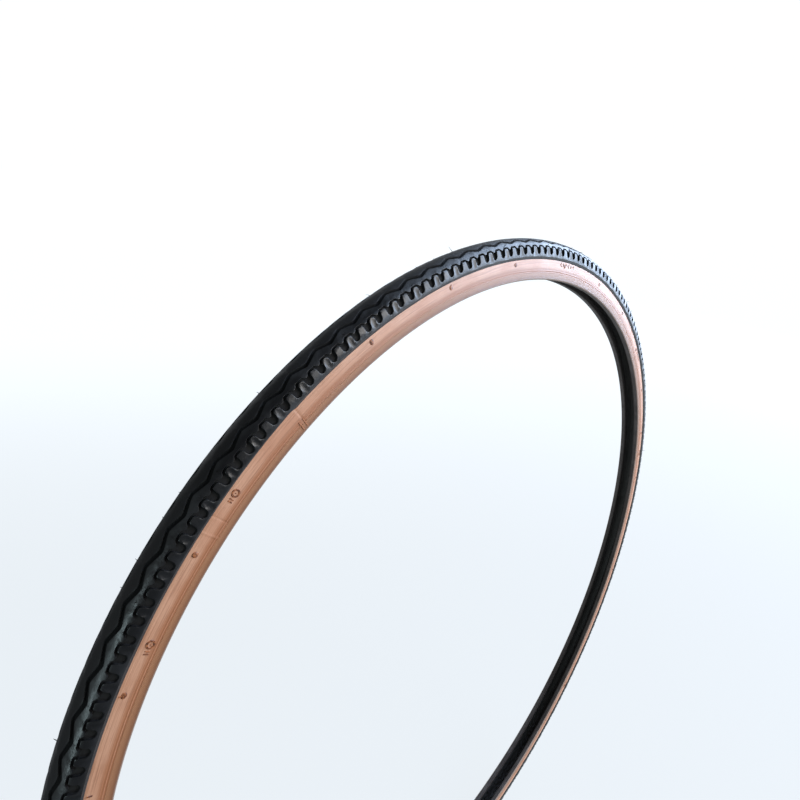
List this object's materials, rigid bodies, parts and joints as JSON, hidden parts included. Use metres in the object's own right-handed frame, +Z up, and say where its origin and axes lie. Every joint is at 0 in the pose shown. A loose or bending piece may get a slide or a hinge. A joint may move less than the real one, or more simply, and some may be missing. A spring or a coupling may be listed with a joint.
{
  "type": "bicycle tire",
  "caption": "Wired-on bicycle tyre with a black fine-block road tread, tan sidewalls and steel wire beads, in its free shape off the rim.",
  "frame": {"origin": "centre of the wheel: on the axle's axis, in the tyre's middle plane between the two beads", "axes": "+Y along the wheel's axle towards the left side of the bicycle, +Z up, +X towards the rear; a bicycle that faces -X"},
  "size_m": [0.6772, 0.0204, 0.6772],
  "materials": {
    "tread_rubber": "new black tread rubber, satin, with a fine moulded block pattern",
    "tan_rubber": "tan gum rubber skin, satin, with fine moulded rings",
    "chafer_fabric": "rubbered woven strip, matt, brown grey",
    "ply_cord": "rubbered nylon cord, charcoal, matt, with a fine diagonal weave",
    "breaker_cord": "rubbered cord strip, ochre brown, matt",
    "filler_rubber": "hard black bead rubber",
    "bead_steel": "drawn high-tensile steel wire, bright"
  },
  "bodies": {
    "root": {"tread": "tread_rubber", "breaker_strip": "breaker_cord", "casing_ply_outer": "ply_cord", "casing_ply_inner": "ply_cord", "sidewall_left": "tan_rubber", "sidewall_right": "tan_rubber", "chafer_left": "chafer_fabric", "chafer_right": "chafer_fabric", "bead_wire_left": "bead_steel", "bead_wire_right": "bead_steel", "bead_filler_left": "filler_rubber", "bead_filler_right": "filler_rubber", "bead_splice_sleeve_left": "bead_steel", "bead_splice_sleeve_right": "bead_steel"}
  },
  "joints": []
}
